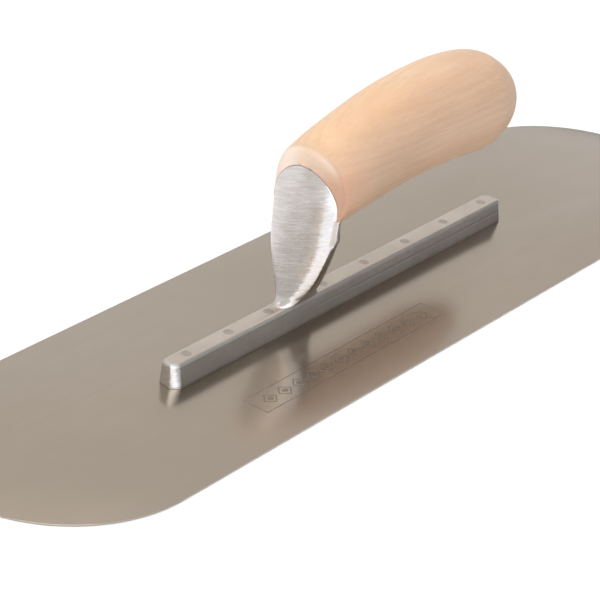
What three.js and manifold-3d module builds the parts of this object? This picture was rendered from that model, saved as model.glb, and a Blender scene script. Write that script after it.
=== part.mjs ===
// Pool-pattern steel finishing trowel: a thin spring-steel blade with round ends,
// a cast aluminium mounting riveted along its centre line, a steel tang held in
// the mounting's post, and a curved wooden handle on the tang.
//
// Millimetres, +Z up. Origin: centre of the blade on its working (under) face.
// +X runs along the blade towards the free (rear) end of the handle, so the
// front is at -X. +Y is across the blade. All but the blade's round ends and
// the handle's curve is laid out along the line y = 0.

import * as THREE from 'three';
import { mergeVertices } from 'three/addons/utils/BufferGeometryUtils.js';
import Module from 'manifold-3d';

const wasm = await Module();
wasm.setup();

// ---------------------------------------------------------------- dimensions

const INCH = 25.4;
const CLEARANCE = 0.1;               // round the rivets, tang and wood joints
const CUT_OVERRUN = 1;               // how far a rivet hole's cutter runs past the metal

// blade
const BLADE_LENGTH = 16 * INCH;
const BLADE_WIDTH = 4 * INCH;
const BLADE_THICKNESS = 0.6;
const BLADE_ARC_SEGMENTS = 48;

// rivets, along the rib
const RIVET_X = [-92.3, -69.6, -47.2, -15.6, 9.8, 35.7, 61.0, 87.0];
const RIVET_RADIUS = 1.8;
const RIVET_HEAD_RADIUS = 2.9;       // countersunk flush under the blade
const RIVET_CHAMFER = 0.12;          // round the upper end
const RIVET_SEGMENTS = 24;

// mounting rib
const RIB_FRONT = -103.2;            // ends of the base
const RIB_REAR = 94.4;
const RIB_BASE_HALF = 5.2;
const RIB_TOP_HALF = 3.5;
const RIB_TOP_Z = 9.6;
const RIB_END_DRAFT = 0.45;          // how far each end leans in below the top edge
const RIB_CORNER_STEPS = 6;
const RIB_LEVELS = [
  // z, lean of the ends, half width, corner radius
  [BLADE_THICKNESS, 0, RIB_BASE_HALF, 3.4],
  [4.9, 0.22, 4.42, 3.2],
  [5.3, 0.24, 4.34, 3.2],
  [9.2, RIB_END_DRAFT, RIB_TOP_HALF + 0.12, 2.9],
  [RIB_TOP_Z, RIB_END_DRAFT + 0.35, RIB_TOP_HALF - 0.2, 2.7],
];

// Post of the mounting. It ends in a seat under the front of the handle; above
// that only a plate let into the wood goes on, with its back at PLATE_BACK.
const SEAT_TOP_Z = 44.7;
const SEAT_REAR = -21.0;
const PLATE_FOOT_Z = 40;             // the plate starts inside the post, above this
const PLATE_BACK = -27.0;
const POST = [
  // z, x of front centre line, x of rim, half width, x of back (up to the seat)
  [7.6, -43.90, -38.40, 3.70, -20.0],
  [8.8, -43.40, -38.10, 3.76, -20.4],
  [9.6, -42.30, -37.60, 3.90, -21.2],
  [10.6, -40.90, -36.90, 4.35, -21.9],
  [12.5, -39.60, -36.20, 5.60, -24.3],
  [15.0, -38.70, -35.50, 7.15, -25.1],
  [17.5, -38.10, -34.85, 8.45, -25.4],
  [20.0, -37.60, -34.30, 9.55, -25.6],
  [22.5, -37.20, -33.90, 10.45, -25.7],
  [25.0, -36.85, -33.60, 11.25, -25.7],
  [27.5, -36.55, -33.25, 12.00, -25.6],
  [30.0, -36.30, -32.90, 12.65, -25.4],
  [32.5, -36.10, -32.55, 13.15, -25.0],
  [35.0, -35.90, -32.20, 13.55, -24.2],
  [38.0, -35.70, -31.90, 13.80, -22.9],
  [40.5, -35.50, -31.70, 13.95, -21.8],
  [43.0, -35.30, -31.50, 14.05, SEAT_REAR],
  [SEAT_TOP_Z, -35.20, -31.40, 14.12, SEAT_REAR],
  [47.5, -35.00, -31.40, 14.10],
  [49.7, -34.85, -31.45, 13.90],
  [51.7, -34.70, -31.60, 13.38],
  [53.5, -34.60, -31.80, 12.59],
  [55.2, -34.50, -32.05, 11.60],
  [56.7, -34.40, -32.30, 10.44],
  [58.0, -34.30, -32.60, 9.17],
  [59.1, -34.25, -32.90, 7.83],
  [60.1, -34.20, -33.20, 6.48],
  [60.9, -34.10, -33.40, 5.14],
  [61.5, -34.05, -33.60, 3.82],
  [61.95, -34.00, -33.80, 2.52],
  [62.2, -33.98, -33.90, 1.10],
];
const POST_TOP_Z = POST.at(-1)[0];
const POST_FRONT_STEPS = 16;
const POST_BACK_STEPS = 12;
const POST_BACK_POWER_X = 0.42;      // squareness of the rounded back
const POST_BACK_POWER_Y = 0.52;
const POCKET_REACH = 6;              // the plate's pocket runs on this far forward

// ground front face, shared by the post and the wood
const FACE_POWER = 3.5;              // crown across the face
const FACE_CROWN = 3.8;              // depth of the wood's crown...
const FACE_CROWN_HALF = 14.1;        // ...at this distance from the centre line
const FACE_LEAN = 0.012;             // curve to the rear above the post, per mm squared
const FACE_FOOT_Z = 30;              // the face is upright below and above these
const FACE_HEAD_Z = 75;
const FACE_HEIGHTS = [
  20, 33, 38, 43, 47.5, 51.7, 55.2, 58, 60.1, 61.5, 62.2, 64, 66, 68, 70, 90,
];
const FACE_HALF = 18;                // half width of the crowned part of the cutter
const FACE_STEPS = 24;
const CUTTER_HALF = 30;              // half width of cutters wider than the handle
const CUTTER_REAR = 120;

// tang and its boss
const TANG_Z = 52.6;
const TANG_RADIUS = 4.75;
const TANG_FRONT = -31.2;
const TANG_REAR = 52.0;
const TANG_FRONT_CHAMFER = 0.6;
const TANG_REAR_CHAMFER = 1.5;
const GROOVE_DEPTH = 0.5;
const GROOVE_FIRST = 20;             // from the front end of the tang
const GROOVE_PITCH = 9;
const GROOVE_END_MARGIN = 8;         // no groove starts nearer the rear end
const BOSS_RADIUS = 7.2;
const BOSS_FRONT = -30;              // inside the plate
const BOSS_BACK = -20.0;
const BAR_SEGMENTS = 32;
const BORE_FRONT = -45;              // handle bores are cut from ahead of the wood
const BORE_END_GAP = 1.5;            // behind the tang

// Handle sections, each square to the centre line.
const HANDLE = [
  // centre x, centre z, height above it, half width, depth below it where less
  [-57.2, 41.6, 18.4, 15.5, 9.0],
  [-44.2, 45.9, 18.5, 15.6, 11.5],
  [-31.2, 50.2, 18.6, 15.8, 14.0],
  [-18.2, 54.5, 18.7, 16.2, 16.9],
  [-4.8, 57.5, 19.0, 16.6, 18.7],
  [8.7, 59.8, 19.4, 17.2],
  [22.3, 61.2, 19.8, 17.8],
  [36.0, 61.7, 20.1, 18.3],
  [49.7, 61.4, 20.3, 18.7],
  [63.4, 59.9, 20.1, 18.8],
  [67.0, 59.25, 19.7, 18.4],
  [70.4, 58.5, 19.0, 17.8],
  [73.8, 57.7, 17.8, 16.8],
  [76.9, 56.9, 16.4, 15.5],
  [79.8, 56.05, 14.7, 13.9],
  [82.3, 55.2, 12.8, 12.1],
  [84.6, 54.4, 10.6, 10.0],
  [86.3, 53.8, 8.5, 8.1],
  [87.7, 53.2, 6.2, 5.9],
  [88.6, 52.8, 3.8, 3.6],
];
const HANDLE_END = [89.17, 52.56];   // x, z of the rear tip
const HANDLE_SIDES = 40;

// ------------------------------------------------------------------- helpers

// Manifold solid from a closed three.js geometry.
function solid(geometry) {
  const bare = geometry.clone();
  bare.deleteAttribute('normal');
  bare.deleteAttribute('uv');
  const merged = mergeVertices(bare, 1e-4);
  return new wasm.Manifold(new wasm.Mesh({
    numProp: 3,
    vertProperties: Float32Array.from(merged.attributes.position.array),
    triVerts: Uint32Array.from(merged.index.array),
  }));
}

function geometryOf(manifold) {
  const mesh = manifold.getMesh();
  const geometry = new THREE.BufferGeometry();
  geometry.setAttribute('position', new THREE.Float32BufferAttribute(mesh.vertProperties, 3));
  geometry.setIndex(Array.from(mesh.triVerts));
  geometry.computeVertexNormals();
  return geometry;
}

function middleOf(ring) {
  return ring
    .reduce((sum, point) => sum.add(point), new THREE.Vector3())
    .multiplyScalar(1 / ring.length);
}

// Closed skin through rings of equal point count. Each end is a fan: the first
// to its ring's middle, the last to endPoint or to its own ring's middle.
function loft(rings, endPoint = middleOf(rings.at(-1))) {
  const count = rings[0].length;
  const points = [...rings.flat(), middleOf(rings[0]), endPoint];
  const startIndex = rings.length * count;
  const endIndex = startIndex + 1;
  const lastRing = startIndex - count;
  const index = [];
  for (let r = 0; r + 1 < rings.length; r += 1) {
    for (let i = 0; i < count; i += 1) {
      const here = r * count + i;
      const next = r * count + ((i + 1) % count);
      index.push(here, next, next + count, here, next + count, here + count);
    }
  }
  for (let i = 0; i < count; i += 1) {
    const j = (i + 1) % count;
    index.push(startIndex, j, i);
    index.push(endIndex, lastRing + i, lastRing + j);
  }

  // turn the skin outwards if it came out inside out
  let volume = 0;
  for (let t = 0; t < index.length; t += 3) {
    const [a, b, c] = index.slice(t, t + 3).map((i) => points[i]);
    volume += a.dot(b.clone().cross(c));
  }
  if (volume < 0) {
    for (let t = 0; t < index.length; t += 3) {
      [index[t + 1], index[t + 2]] = [index[t + 2], index[t + 1]];
    }
  }

  const geometry = new THREE.BufferGeometry().setFromPoints(points);
  geometry.setIndex(index);
  return geometry;
}

// Upright round pin on the centre line, with its own radius at each end.
function uprightPin({ x, bottom, top, bottomRadius, topRadius }) {
  const pin = new THREE.CylinderGeometry(topRadius, bottomRadius, top - bottom, RIVET_SEGMENTS);
  pin.rotateX(Math.PI / 2);
  pin.translate(x, 0, (bottom + top) / 2);
  return solid(pin);
}

// Round bar along X on the tang's axis.
function tangBar(front, rear, radius) {
  const bar = new THREE.CylinderGeometry(radius, radius, rear - front, BAR_SEGMENTS);
  bar.rotateZ(-Math.PI / 2);
  bar.translate((front + rear) / 2, 0, TANG_Z);
  return solid(bar);
}

// --------------------------------------------------------------------- blade

// The hole is a countersink through the whole thin sheet.
function countersink(x) {
  const slope = (RIVET_HEAD_RADIUS - RIVET_RADIUS) / BLADE_THICKNESS;
  return uprightPin({
    x,
    bottom: -CUT_OVERRUN,
    top: BLADE_THICKNESS + CUT_OVERRUN,
    bottomRadius: RIVET_HEAD_RADIUS + CLEARANCE + slope * CUT_OVERRUN,
    topRadius: RIVET_RADIUS + CLEARANCE - slope * CUT_OVERRUN,
  });
}

function bladeGeometry() {
  const radius = BLADE_WIDTH / 2;
  const arcX = BLADE_LENGTH / 2 - radius;
  const outline = new THREE.Shape();
  outline.moveTo(-arcX, -radius);
  outline.lineTo(arcX, -radius);
  outline.absarc(arcX, 0, radius, -Math.PI / 2, Math.PI / 2, false);
  outline.lineTo(-arcX, radius);
  outline.absarc(-arcX, 0, radius, Math.PI / 2, 1.5 * Math.PI, false);
  let body = solid(new THREE.ExtrudeGeometry(outline, {
    depth: BLADE_THICKNESS, bevelEnabled: false, curveSegments: BLADE_ARC_SEGMENTS,
  }));
  for (const x of RIVET_X) body = body.subtract(countersink(x));
  return geometryOf(body);
}

// ------------------------------------------------------------------ mounting

// Level outline of the rib with rounded corners, anticlockwise from above.
function ribRing([z, lean, half, radius]) {
  const frontX = RIB_FRONT + lean + radius;
  const rearX = RIB_REAR - lean - radius;
  const cornerY = half - radius;
  const centres = [[rearX, cornerY], [frontX, cornerY], [frontX, -cornerY], [rearX, -cornerY]];
  return centres.flatMap(([centreX, centreY], corner) => {
    const points = [];
    for (let i = 0; i <= RIB_CORNER_STEPS; i += 1) {
      const angle = (Math.PI / 2) * (corner + i / RIB_CORNER_STEPS);
      points.push(new THREE.Vector3(
        centreX + radius * Math.cos(angle),
        centreY + radius * Math.sin(angle),
        z,
      ));
    }
    return points;
  });
}

// One level of the post: the crowned front face from rim to rim, then a rounded
// back. `grow` swells it into the pocket that it sits in, which is open in front.
function postRing([z, frontX, rimX, half, backX], grow = 0) {
  const isPocket = grow > 0;
  const halfWidth = half + grow;
  const reach = isPocket ? POCKET_REACH : 0;
  const ring = [];
  for (let i = 0; i <= POST_FRONT_STEPS; i += 1) {
    const across = -1 + (2 * i) / POST_FRONT_STEPS;
    const x = frontX + (rimX - frontX) * Math.abs(across) ** FACE_POWER - reach;
    ring.push(new THREE.Vector3(x, halfWidth * across, z));
  }
  if (isPocket) ring.push(new THREE.Vector3(rimX, halfWidth, z));
  for (let i = 1; i < POST_BACK_STEPS; i += 1) {
    const angle = (Math.PI * i) / POST_BACK_STEPS;
    const across = Math.cos(angle);
    ring.push(new THREE.Vector3(
      rimX + (backX + grow - rimX) * Math.sin(angle) ** POST_BACK_POWER_X,
      halfWidth * Math.sign(across) * Math.abs(across) ** POST_BACK_POWER_Y,
      z,
    ));
  }
  if (isPocket) ring.push(new THREE.Vector3(rimX, -halfWidth, z));
  return ring;
}

// The post, up to the ledge that the wood stands on.
function postSolid() {
  const rows = POST.filter(([z]) => z <= SEAT_TOP_Z);
  return solid(loft(rows.map((row) => postRing(row))));
}

// The thin plate that goes on up the front of the wood, or its pocket.
function plateSolid(grow = 0) {
  const rows = POST.filter(([z]) => z >= PLATE_FOOT_Z)
    .map(([z, frontX, rimX, half]) => [z, frontX, rimX, half, PLATE_BACK]);
  if (grow > 0) {
    const [topZ, ...rest] = rows.at(-1);
    rows.push([topZ + grow, ...rest]);
  }
  return solid(loft(rows.map((row) => postRing(row, grow))));
}

function ribHole(x) {
  return uprightPin({
    x,
    bottom: BLADE_THICKNESS - CUT_OVERRUN,
    top: RIB_TOP_Z + CUT_OVERRUN,
    bottomRadius: RIVET_RADIUS + CLEARANCE,
    topRadius: RIVET_RADIUS + CLEARANCE,
  });
}

function mountingGeometry() {
  let body = solid(loft(RIB_LEVELS.map(ribRing)))
    .add(postSolid())
    .add(plateSolid())
    .add(tangBar(BOSS_FRONT, BOSS_BACK, BOSS_RADIUS))
    .subtract(tangBar(TANG_FRONT - CLEARANCE, BOSS_BACK + 5, TANG_RADIUS + CLEARANCE));
  for (const x of RIVET_X) body = body.subtract(ribHole(x));
  return geometryOf(body);
}

// -------------------------------------------------------------------- handle

// The whole handle before its front is ground and its joints are cut.
function handleBody() {
  const rings = HANDLE.map(([x, z, above, halfWidth, below = above], i) => {
    const before = HANDLE[Math.max(i - 1, 0)];
    const after = HANDLE[i + 1] ?? HANDLE_END;
    // direction of the centre line: its x, and its z held in y
    const along = new THREE.Vector2(after[0] - before[0], after[1] - before[1]).normalize();
    const ring = [];
    for (let k = 0; k < HANDLE_SIDES; k += 1) {
      const angle = (2 * Math.PI * k) / HANDLE_SIDES;
      const cosine = Math.cos(angle);
      const up = (cosine < 0 ? below : above) * cosine;
      ring.push(new THREE.Vector3(
        x - along.y * up,
        halfWidth * Math.sin(angle),
        z + along.x * up,
      ));
    }
    return ring;
  });
  return solid(loft(rings, new THREE.Vector3(HANDLE_END[0], 0, HANDLE_END[1])));
}

// x of the post's front centre line at a height, held at its top value above.
function postFrontX(z) {
  const i = POST.findIndex(([rowZ]) => z <= rowZ);
  if (i < 0) return POST.at(-1)[1];
  const [lowZ, lowX] = POST[i - 1];
  const [highZ, highX] = POST[i];
  return THREE.MathUtils.lerp(lowX, highX, (z - lowZ) / (highZ - lowZ));
}

function faceX(y, z) {
  const height = THREE.MathUtils.clamp(z, FACE_FOOT_Z, FACE_HEAD_Z);
  return postFrontX(height)
    + FACE_CROWN * (Math.abs(y) / FACE_CROWN_HALF) ** FACE_POWER
    + FACE_LEAN * Math.max(height - POST_TOP_Z, 0) ** 2;
}

// Everything behind the ground front surface that wood and metal share.
function behindFace() {
  const rings = FACE_HEIGHTS.map((z) => {
    const ring = [];
    for (let i = 0; i <= FACE_STEPS; i += 1) {
      const y = -FACE_HALF + (2 * FACE_HALF * i) / FACE_STEPS;
      ring.push(new THREE.Vector3(faceX(y, z), y, z));
    }
    const sideX = faceX(FACE_HALF, z);
    ring.push(
      new THREE.Vector3(sideX, CUTTER_HALF, z),
      new THREE.Vector3(CUTTER_REAR, CUTTER_HALF, z),
      new THREE.Vector3(CUTTER_REAR, -CUTTER_HALF, z),
      new THREE.Vector3(sideX, -CUTTER_HALF, z),
    );
    return ring;
  });
  return solid(loft(rings));
}

// The space that the seat takes, right across the handle.
function seatPocket() {
  const front = -60;
  const bottom = 20;
  const rear = SEAT_REAR + CLEARANCE;
  const top = SEAT_TOP_Z + CLEARANCE;
  const box = new THREE.BoxGeometry(rear - front, 2 * CUTTER_HALF, top - bottom);
  box.translate((front + rear) / 2, 0, (bottom + top) / 2);
  return solid(box);
}

function handleGeometry() {
  return geometryOf(handleBody()
    .intersect(behindFace())
    .subtract(plateSolid(CLEARANCE))
    .subtract(seatPocket())
    .subtract(tangBar(BORE_FRONT, BOSS_BACK + CLEARANCE, BOSS_RADIUS + CLEARANCE))
    .subtract(tangBar(BORE_FRONT, TANG_REAR + BORE_END_GAP, TANG_RADIUS + CLEARANCE)));
}

// ---------------------------------------------------------------------- tang

function tangGeometry() {
  const length = TANG_REAR - TANG_FRONT;
  const grooveRadius = TANG_RADIUS - GROOVE_DEPTH;
  // radius, distance from the front end
  const profile = [
    [0, 0],
    [TANG_RADIUS - TANG_FRONT_CHAMFER, 0],
    [TANG_RADIUS, TANG_FRONT_CHAMFER],
  ];
  // shallow rings that the adhesive keys into
  for (let start = GROOVE_FIRST; start < length - GROOVE_END_MARGIN; start += GROOVE_PITCH) {
    profile.push(
      [TANG_RADIUS, start],
      [grooveRadius, start + 0.5],
      [grooveRadius, start + 1.7],
      [TANG_RADIUS, start + 2.2],
    );
  }
  profile.push(
    [TANG_RADIUS, length - TANG_REAR_CHAMFER],
    [TANG_RADIUS - TANG_REAR_CHAMFER, length],
    [0, length],
  );
  const points = profile.map(([radius, distance]) => new THREE.Vector2(radius, distance));
  const tang = new THREE.LatheGeometry(points, BAR_SEGMENTS);
  tang.rotateZ(-Math.PI / 2);
  tang.translate(TANG_FRONT, 0, TANG_Z);
  return geometryOf(solid(tang));
}

// -------------------------------------------------------------------- rivets

function rivetGeometry(x) {
  const profile = [
    // radius, z
    [0, 0],
    [RIVET_HEAD_RADIUS, 0],
    [RIVET_RADIUS, BLADE_THICKNESS],
    [RIVET_RADIUS, RIB_TOP_Z - RIVET_CHAMFER],
    [RIVET_RADIUS - RIVET_CHAMFER, RIB_TOP_Z],
    [0, RIB_TOP_Z],
  ];
  const points = profile.map(([radius, z]) => new THREE.Vector2(radius, z));
  const rivet = new THREE.LatheGeometry(points, RIVET_SEGMENTS);
  rivet.rotateX(Math.PI / 2);
  rivet.translate(x, 0, 0);
  return geometryOf(solid(rivet));
}

// ----------------------------------------------------------------- materials

function metal({ color, roughness }) {
  return new THREE.MeshStandardMaterial({ color, roughness, metalness: 1 });
}

const springSteel = metal({ color: 0xada095, roughness: 0.34 });
const castAluminium = metal({ color: 0xc6c2bd, roughness: 0.42 });
const rivetSteel = metal({ color: 0x9c9995, roughness: 0.45 });
const tangSteel = metal({ color: 0x8d8c8a, roughness: 0.5 });
const paleWood = new THREE.MeshStandardMaterial({
  color: 0xe2bb98, roughness: 0.6, metalness: 0,
});

// ------------------------------------------------------------------ assembly

const trowel = new THREE.Group();
trowel.name = 'finishing_trowel';

function add(name, geometry, material) {
  const mesh = new THREE.Mesh(geometry, material);
  mesh.name = name;
  trowel.add(mesh);
}

add('blade', bladeGeometry(), springSteel);
add('mounting', mountingGeometry(), castAluminium);
add('tang', tangGeometry(), tangSteel);
add('handle', handleGeometry(), paleWood);
RIVET_X.forEach((x, i) => add(`rivet_${i + 1}`, rivetGeometry(x), rivetSteel));

export default trowel;
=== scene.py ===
"""Pool-pattern steel finishing trowel: a round-ended blade, a riveted casting and a wooden handle.

Shapes are built in millimetres in the CAD frame and scaled to metres once, as each is finished.
+X runs along the blade towards the free end of the handle, +Y across it, +Z up. The blade's
underside is z = 0. "Front" means -X, "near" means -Y and "far" means +Y.
"""

import math

import bmesh
import bpy
import numpy as np
from mathutils import Matrix, Vector


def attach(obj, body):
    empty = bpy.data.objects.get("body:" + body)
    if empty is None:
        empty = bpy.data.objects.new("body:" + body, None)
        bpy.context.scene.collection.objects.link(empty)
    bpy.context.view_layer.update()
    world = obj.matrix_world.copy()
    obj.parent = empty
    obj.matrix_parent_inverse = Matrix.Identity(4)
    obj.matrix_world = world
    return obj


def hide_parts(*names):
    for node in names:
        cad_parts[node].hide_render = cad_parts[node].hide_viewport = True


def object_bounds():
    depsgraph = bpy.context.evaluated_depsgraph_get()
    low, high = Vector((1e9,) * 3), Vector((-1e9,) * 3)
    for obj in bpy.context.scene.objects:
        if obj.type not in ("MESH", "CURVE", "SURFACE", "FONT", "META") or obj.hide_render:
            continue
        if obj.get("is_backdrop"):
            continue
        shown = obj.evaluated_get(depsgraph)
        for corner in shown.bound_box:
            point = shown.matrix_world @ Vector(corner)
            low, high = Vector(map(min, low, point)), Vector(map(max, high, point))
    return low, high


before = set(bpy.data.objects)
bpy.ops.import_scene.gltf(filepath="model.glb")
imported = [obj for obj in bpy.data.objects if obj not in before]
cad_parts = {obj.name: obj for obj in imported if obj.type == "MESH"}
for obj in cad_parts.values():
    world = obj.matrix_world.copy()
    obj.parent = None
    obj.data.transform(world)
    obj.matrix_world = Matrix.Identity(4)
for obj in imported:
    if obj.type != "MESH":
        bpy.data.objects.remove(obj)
cad_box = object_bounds()
MM = 0.001

# ------------------------------------------------------------------ dimensions (mm)

BLADE_L, BLADE_W, BLADE_T = 406.4, 101.6, 0.6
BLADE_EDGE = 0.16           # size of the eased edge

RIB_FRONT, RIB_REAR = -102.70, 94.4
RIB_HALF_W, RIB_TOP = 5.2, 9.6
RIB_DRAFT = 1.66            # narrowing of each side from base to top
RIB_EDGE_FRONT, RIB_EDGE_REAR = 1.45, 0.42

RIVET_X = [-92.3, -69.6, -47.2, -15.6, 9.8, 35.7, 61.0, 87.0]
RIVET_R, RIVET_GAP = 1.80, 0.04
SINK_R, SINK_GAP = 2.9, 0.08    # countersink at the blade's underside, and its clearance

# post levels: z, x of the front at mid width, x of the front at its rim, x of the back, half width
POST = np.array([
    (7.6, -44.2, -38.6, -19.6, 3.66), (8.8, -43.7, -38.2, -20.2, 3.74),
    (9.6, -42.5, -37.6, -21.2, 3.92), (10.6, -40.9, -36.9, -21.9, 4.36),
    (12.5, -39.6, -36.2, -24.3, 5.60), (15.0, -38.7, -35.5, -25.1, 7.15),
    (17.5, -38.1, -34.85, -25.4, 8.45), (20.0, -37.6, -34.3, -25.6, 9.55),
    (22.5, -37.2, -33.9, -25.7, 10.45), (25.0, -36.85, -33.6, -25.7, 11.25),
    (27.5, -36.55, -33.25, -25.6, 12.00), (30.0, -36.3, -32.9, -25.4, 12.65),
    (32.5, -36.1, -32.55, -25.0, 13.15), (35.0, -35.9, -32.2, -24.2, 13.55),
    (38.0, -35.7, -31.9, -22.9, 13.80), (40.5, -35.5, -31.7, -21.8, 13.95),
    (43.0, -35.3, -31.5, -21.0, 14.05), (44.7, -35.2, -31.4, -21.0, 14.12),
    (47.5, -35.0, -31.4, -21.0, 14.10), (49.7, -34.85, -31.45, -21.0, 13.90),
    (51.7, -34.7, -31.6, -21.0, 13.38), (53.5, -34.6, -31.8, -21.0, 12.59),
    (55.2, -34.5, -32.05, -21.0, 11.60), (56.7, -34.4, -32.3, -21.0, 10.44),
    (58.0, -34.3, -32.6, -21.0, 9.17), (59.1, -34.25, -32.9, -21.0, 7.83),
    (60.1, -34.2, -33.2, -21.0, 6.48), (60.9, -34.1, -33.4, -21.0, 5.14),
    (61.5, -34.05, -33.6, -21.0, 3.82), (61.95, -34.0, -33.8, -21.0, 2.52),
    (62.2, -33.98, -33.9, -21.0, 1.10),
])
POST_TOP = float(POST[-1, 0])
# crown of the front: z, exponent of its curve across the width
CROWN = np.array([
    (50.0, 3.5), (51.7, 3.3), (53.5, 2.7), (55.2, 2.35),
    (56.7, 2.1), (58.0, 1.9), (60.0, 1.75), (62.2, 1.65),
])
SEAT_TOP, SEAT_REAR = 44.7, -21.0
PLATE_BACK = -27.0          # back of the thin plate above the seat
PLATE_GAP, PLATE_REACH = 0.05, 8.0      # the plate's cutter: clearance, extra length in front

TANG_Z, TANG_R, TANG_FRONT, TANG_REAR = 52.6, 4.75, -31.2, 52.0
BOSS_R, BOSS_FRONT, BOSS_BACK, BOSS_CHAMFER = 7.2, -30, -20.0, 0.6
BORE_GAP, WOOD_GAP = 0.1, 0.15

# handle stations: centre x, centre z, height above, half width, depth below
HANDLE = np.array([
    (-57.2, 41.6, 18.4, 15.5, 9.0), (-44.2, 45.9, 18.5, 15.6, 11.5),
    (-31.2, 50.2, 18.6, 15.8, 14.0), (-18.2, 54.5, 18.7, 16.2, 16.9),
    (-4.8, 57.5, 19.0, 16.6, 18.7), (8.7, 59.8, 19.4, 17.2, 19.4),
    (22.3, 61.2, 19.8, 17.8, 19.8), (36.0, 61.7, 20.1, 18.3, 20.1),
    (49.7, 61.4, 20.3, 18.7, 20.3), (63.4, 59.9, 20.1, 18.8, 20.1),
    (67.0, 59.25, 19.7, 18.4, 19.7), (70.4, 58.5, 19.0, 17.8, 19.0),
    (73.8, 57.7, 17.8, 16.8, 17.8), (76.9, 56.9, 16.4, 15.5, 16.4),
    (79.8, 56.05, 14.7, 13.9, 14.7), (82.3, 55.2, 12.8, 12.1, 12.8),
    (84.6, 54.4, 10.6, 10.0, 10.6), (86.3, 53.8, 8.5, 8.1, 8.5),
    (87.7, 53.2, 6.2, 5.9, 6.2), (88.6, 52.8, 3.8, 3.6, 3.8),
    (89.17, 52.56, 0.0, 0.0, 0.0),
])
DOME_START = 9              # station where the rear dome begins

# ------------------------------------------------------------------ numeric helpers


def monotone_cubic(x, y, at):
    """Smooth curve through (x, y) that doesn't overshoot."""
    x, y, at = (np.asarray(v, float) for v in (x, y, at))
    step = np.diff(x)
    slope = np.diff(y) / step
    tangent = np.zeros(len(x))
    for i in range(1, len(x) - 1):
        if slope[i - 1] * slope[i] > 0:
            before, after = 2 * step[i] + step[i - 1], step[i] + 2 * step[i - 1]
            tangent[i] = (before + after) / (before / slope[i - 1] + after / slope[i])
    tangent[0], tangent[-1] = slope[0], slope[-1]
    i = np.clip(np.searchsorted(x, at) - 1, 0, len(step) - 1)
    t = (at - x[i]) / step[i]
    t2, t3 = t * t, t * t * t
    return ((2 * t3 - 3 * t2 + 1) * y[i] + (t3 - 2 * t2 + t) * step[i] * tangent[i]
            + (-2 * t3 + 3 * t2) * y[i + 1] + (t3 - t2) * step[i] * tangent[i + 1])


def natural_spline(x, y, at):
    """Natural cubic spline through (x, y)."""
    count, step = len(x), np.diff(x)
    matrix = np.eye(count)
    rhs = np.zeros(count)
    for i in range(1, count - 1):
        matrix[i, i - 1:i + 2] = step[i - 1], 2 * (step[i - 1] + step[i]), step[i]
        rhs[i] = 3 * ((y[i + 1] - y[i]) / step[i] - (y[i] - y[i - 1]) / step[i - 1])
    square = np.linalg.solve(matrix, rhs)
    i = np.clip(np.searchsorted(x, at) - 1, 0, count - 2)
    t = at - x[i]
    linear = (y[i + 1] - y[i]) / step[i] - step[i] * (2 * square[i] + square[i + 1]) / 3
    cube = (square[i + 1] - square[i]) / (3 * step[i])
    return y[i] + linear * t + square[i] * t * t + cube * t ** 3


def smoothstep(start, end, x):
    t = np.clip((np.asarray(x, float) - start) / (end - start), 0, 1)
    return t * t * (3 - 2 * t)


# ------------------------------------------------------------------ mesh helpers


def new_object(name, verts, faces):
    mesh = bpy.data.meshes.new(name)
    mesh.from_pydata([tuple(map(float, v)) for v in verts], [],
                     [tuple(map(int, f)) for f in faces])
    mesh.validate()
    obj = bpy.data.objects.new(name, mesh)
    bpy.context.scene.collection.objects.link(obj)
    edit = bmesh.new()
    edit.from_mesh(mesh)
    bmesh.ops.recalc_face_normals(edit, faces=edit.faces)
    if edit.calc_volume(signed=True) < 0:
        bmesh.ops.reverse_faces(edit, faces=edit.faces)
    edit.to_mesh(mesh)
    edit.free()
    return obj


def loft(name, rings, tip=None):
    """A closed skin through rings of equal point count; the last ring closes to tip if given."""
    count = len(rings[0])
    verts = [p for ring in rings for p in ring]
    faces = []
    for r in range(len(rings) - 1):
        for i in range(count):
            a, b = r * count + i, r * count + (i + 1) % count
            faces.append((a, b, b + count, a + count))
    last = (len(rings) - 1) * count
    faces.append(tuple(range(count - 1, -1, -1)))
    if tip is None:
        faces.append(tuple(last + i for i in range(count)))
    else:
        verts.append(tip)
        faces += [(len(verts) - 1, last + i, last + (i + 1) % count) for i in range(count)]
    return new_object(name, verts, faces)


def round_solid(name, axis, at, profile, segments=64):
    """Round solid about X (at = (y, z)) or Z (at = (x, y)). profile: (position, radius) pairs."""
    rings = []
    for pos, radius in profile:
        ring = []
        for i in range(segments):
            turn = 2 * math.pi * i / segments
            u, v = at[0] + radius * math.cos(turn), at[1] + radius * math.sin(turn)
            ring.append((pos, u, v) if axis == "x" else (u, v, pos))
        rings.append(ring)
    return loft(name, rings)


def tang_bore(front, rear, radius):
    """Cutter round the tang's axis."""
    return round_solid("bore", "x", (0, TANG_Z), [(front, radius), (rear, radius)], 96)


def bake(obj):
    """Applies obj's modifiers."""
    graph = bpy.context.evaluated_depsgraph_get()
    graph.update()
    mesh = bpy.data.meshes.new_from_object(obj.evaluated_get(graph))
    old = obj.data
    obj.modifiers.clear()
    obj.data = mesh
    bpy.data.meshes.remove(old)


def boolean(obj, other, operation="DIFFERENCE"):
    mod = obj.modifiers.new("cut", "BOOLEAN")
    mod.operation, mod.solver, mod.object = operation, "EXACT", other
    bake(obj)
    bpy.data.objects.remove(other)


def tidy(obj, dist=0.0008):
    """Merges doubled points and dissolves slivers left by the cuts."""
    edit = bmesh.new()
    edit.from_mesh(obj.data)
    bmesh.ops.remove_doubles(edit, verts=edit.verts, dist=dist)
    bmesh.ops.dissolve_degenerate(edit, dist=dist, edges=edit.edges)
    bmesh.ops.recalc_face_normals(edit, faces=edit.faces)
    edit.to_mesh(obj.data)
    edit.free()


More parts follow.
